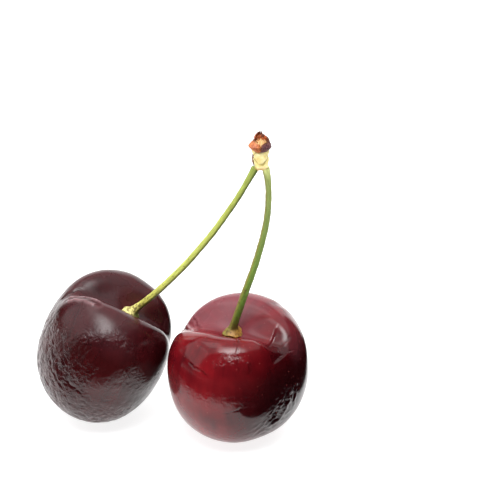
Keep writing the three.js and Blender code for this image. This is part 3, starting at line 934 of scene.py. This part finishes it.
def grow_tip():
    """A spindle with a domed, uneven end: furrows run up it, each a cosine round the
    ring, and knobs of two sizes break its surface."""
    angle = np.linspace(0, 2 * np.pi, 72, endpoint=False)[None, :]
    climb = np.linspace(0, 1, 60)[:, None]
    dome = np.sqrt(np.clip(1 - climb ** 5, 0, 1)) * (0.55 + 0.45 * smooth_step(climb, 0, 0.12))
    furrows = 1 + 0.10 * np.cos(7 * angle + 2 * climb) + 0.05 * np.cos(13 * angle - 3 * climb)
    radius = TIP_RADIUS * np.maximum(dome, 0.04) * furrows
    across, depth = radius * np.cos(angle), radius * np.sin(angle)
    start = tip_low[2] - spur_base[2] - 0.3
    top = tip_high[2] - spur_base[2] - 0.15 + 0.12 * np.cos(3 * angle) * (1 - dome)
    rings = on_spur(across, depth, start + (top - start) * climb)
    knobs = 0.06 * ripple(rings, 0.7, 81) + 0.03 * ripple(rings, 0.3, 82)
    outward = unit(level_vectors(across, depth))
    return closed_mesh("woody_tip", rings + outward * (knobs * np.minimum(dome * 2, 1))[..., None])


def dry_wood(name, dark, light):
    """Dead twig wood: rough and matt, rusty where it is fresh and near black in the
    furrows, with fibres about 0.2 mm apart."""
    material, shader = new_material(name)
    place = add_node(material, "ShaderNodeTexCoord")
    stretch = add_node(material, "ShaderNodeMapping", {}, {
        "Vector": place.outputs["Object"], "Scale": (1.0, 1.0, 0.3),
    })
    fibre = add_node(material, "ShaderNodeTexNoise", {}, {
        "Vector": stretch.outputs["Vector"], "Scale": 1 / 0.0002, "Detail": 4.0, "Roughness": 0.7,
    })
    colour = add_node(material, "ShaderNodeValToRGB", {}, {
        "Fac": fibre.outputs["Fac"],
    }, [(0.35, dark), (0.68, light)])
    bump = add_node(material, "ShaderNodeBump", {}, {
        "Height": fibre.outputs["Fac"], "Strength": 0.8, "Distance": 0.0001,
    })
    set_inputs(material, shader, {
        "Base Color": colour.outputs["Color"], "Normal": bump.outputs["Normal"], "Roughness": 0.8,
    })
    return material


tip = grow_tip()
tip.data.materials.append(dry_wood("dry_rusty_wood", "#3c1608", "#b5571f"))
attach(tip, "root")
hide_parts("spur_tip")


# ---------------------------------------------------------------------------
# Bud scales: dry, papery leaves wrapped round the tip in two whorls, torn and
# curled at their edges, with a sliver of dead scale left on the collar.
# ---------------------------------------------------------------------------

# How thick a scale is, in mm.
PAPER = 0.13


def grow_scale(name, middle, half_angle, foot, rise, height, bulge, flare, beak, narrow, ragged, seed):
    """A thin closed leaf: the section is a flat ring, out along the front and back along
    the rear, carried up from the foot. Its angle round the spur spreads by the half angle
    and narrows to the end. Its distance from the axis bulges by a half sine, flares in step
    with the climb and may be folded out into a tent-shaped beak, and seeded waves crumple
    it and tear its rim."""
    around = np.linspace(0, 2 * np.pi, 80, endpoint=False)[None, :]
    climb = np.linspace(0.0, 1.0, 56)[:, None]
    across = -np.cos(around) * np.ones_like(climb)
    half = np.sign(np.sin(around)) * np.abs(np.sin(around)) ** 0.35 * PAPER / 2
    rng = np.random.default_rng(seed)
    phase = rng.uniform(0, 2 * np.pi, 8)
    torn = 0.07 * np.sin(5 * across + phase[0]) + 0.06 * np.sin(11 * across + phase[1])
    torn = torn + 0.04 * np.sin(19 * across + phase[2])
    breadth = 0.10 + 0.90 * np.clip(1 - climb ** narrow, 0, 1) ** 0.6
    breadth = breadth * (1 + 0.08 * np.sin(7 * climb + phase[3]) + 0.05 * np.sin(17 * climb + phase[4]))
    angle = np.radians(middle) + across * np.radians(half_angle) * breadth
    crumple = 0.09 * np.sin(3.1 * across + 4 * climb + phase[5])
    crumple = crumple + 0.06 * np.sin(8 * across - 7 * climb + phase[6])
    crumple = crumple + 0.030 * np.sin(17 * across + 13 * climb + phase[7])
    tent = np.clip(1 - np.abs(climb - 0.5) / 0.5, 0, 1) * np.clip(1 - np.abs(across), 0, 1) ** 0.8
    distance = foot + bulge * np.sin(np.pi * climb) + flare * climb + beak * tent + half
    distance = distance + ragged * crumple * smooth_step(climb, 0, 0.3)
    tall = rise + height * (climb + ragged * torn * climb ** 2)
    rings = on_spur(np.sin(angle) * distance, -np.cos(angle) * distance, tall)
    rim = np.maximum(np.abs(across) ** 8, smooth_step(climb, 0.82, 1.0))
    return closed_mesh(name, rings, mark=rim)


def dry_scale(name, skin, vein, edge):
    """Dried bud scale: papery, with a faint silky shine, darker veins about 0.25 mm
    apart running up it, and a burnt brown rim."""
    material, shader = new_material(name)
    place = add_node(material, "ShaderNodeTexCoord")
    stretch = add_node(material, "ShaderNodeMapping", {}, {
        "Vector": place.outputs["UV"], "Scale": (22.0, 3.0, 1.0),
    })
    veins = add_node(material, "ShaderNodeTexNoise", {}, {
        "Vector": stretch.outputs["Vector"], "Scale": 1.0, "Detail": 4.0, "Roughness": 0.65,
    })
    tint = add_node(material, "ShaderNodeValToRGB", {}, {
        "Fac": veins.outputs["Fac"],
    }, [(0.36, vein), (0.62, skin)])
    marks = add_node(material, "ShaderNodeAttribute", {"attribute_name": "mark"})
    colour = add_node(material, "ShaderNodeMix", {"data_type": "RGBA"}, {
        "Factor": marks.outputs["Fac"], "A": tint.outputs["Color"], "B": linear(edge),
    })
    bump = add_node(material, "ShaderNodeBump", {}, {
        "Height": veins.outputs["Fac"], "Strength": 0.7, "Distance": 0.00008,
    })
    set_inputs(material, shader, {
        "Base Color": colour.outputs["Result"], "Normal": bump.outputs["Normal"], "Roughness": 0.5,
    })
    return material


# Each scale has dried to a shade of its own: its skin, its veins and its rim.
orange_scale = dry_scale("dry_scale_orange", "#d27c46", "#98451f", "#6b3a16")
purple_scale = dry_scale("dry_scale_purple", "#84504e", "#3a1a30", "#7a4020")
brown_scale = dry_scale("dry_scale_brown", "#b8672e", "#6a3212", "#4a2610")
peach_scale = dry_scale("dry_scale_peach", "#f7d08c", "#e6a06a", "#a85c28")
rusty_scale = dry_scale("dry_scale_rusty", "#da6a26", "#9a3810", "#6b3214")

# Angle round the spur and half angle in degrees; foot, rise, height, bulge, flare and
# beak in mm; how sharply it narrows, and how ragged it is.
for node, paper, *shape, seed in [
    ("bud_scale_1", orange_scale, 300, 74, 1.24, 3.80, 2.1, 0.16, -0.10, 0.95, 5.0, 0.8, 91),
    ("bud_scale_2", purple_scale, 54, 56, 1.32, 3.85, 1.8, 0.42, 0.15, 0.0, 4.0, 1.0, 92),
    ("bud_scale_3", brown_scale, 145, 60, 1.26, 3.90, 2.0, 0.34, 0.05, 0.0, 3.0, 1.0, 93),
    ("bud_scale_4", peach_scale, 8, 66, 1.06, 3.95, 2.5, 0.44, -0.30, 0.0, 4.0, 0.8, 94),
    ("bud_scale_5", rusty_scale, 170, 100, 0.76, 4.10, 2.6, 0.22, -0.08, 0.0, 8.0, 1.5, 95),
]:
    scale = grow_scale("papery_" + node, *shape, seed)
    scale.data.materials.append(paper)
    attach(scale, "root")
    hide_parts(node)

for name, paper, *shape, seed in [
    ("torn_inner_scale", rusty_scale, 36, 66, 0.60, 5.5, 1.3, 0.22, 0.10, 0.0, 6.0, 1.7, 96),
    ("dead_scale_sliver", brown_scale, 268, 13, 1.24, 0.9, 2.0, 0.10, 0.12, 0.0, 3.0, 0.6, 97),
]:
    scale = grow_scale(name, *shape, seed)
    scale.data.materials.append(paper)
    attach(scale, "root")
